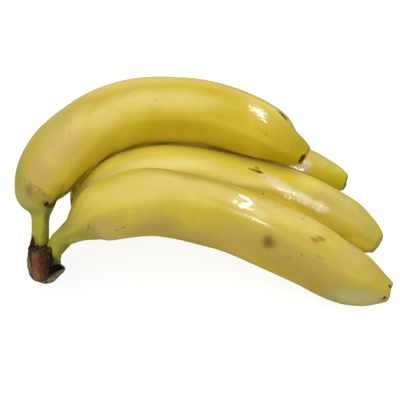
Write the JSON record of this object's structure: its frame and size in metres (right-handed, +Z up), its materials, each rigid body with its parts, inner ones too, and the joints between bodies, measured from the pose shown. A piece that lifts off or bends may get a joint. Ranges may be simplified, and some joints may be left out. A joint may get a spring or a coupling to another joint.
{
  "type": "banana bunch",
  "caption": "Small bunch of ripe bananas joined at one brown cut crown, each fruit curved, ridged and tapered to a stub, lying on its side as picked.",
  "frame": {"origin": "on the surface the bunch lies on, under the middle of its bounding box", "axes": "+X from the crown towards the tips, along the length of the bunch; +Z up from the surface; the fruit bow away from -Y"},
  "size_m": [0.198, 0.1338, 0.0771],
  "materials": {
    "skin_front": "waxy ripe banana skin, satin",
    "skin_middle": "waxy ripe banana skin, satin",
    "skin_back": "waxy ripe banana skin, satin",
    "skin_top": "waxy ripe banana skin, satin",
    "crown": "dry, dull, fibrous cut stalk"
  },
  "bodies": {
    "root": {"banana_front": "skin_front", "banana_middle": "skin_middle", "banana_back": "skin_back", "banana_top": "skin_top", "crown": "crown"}
  },
  "joints": []
}
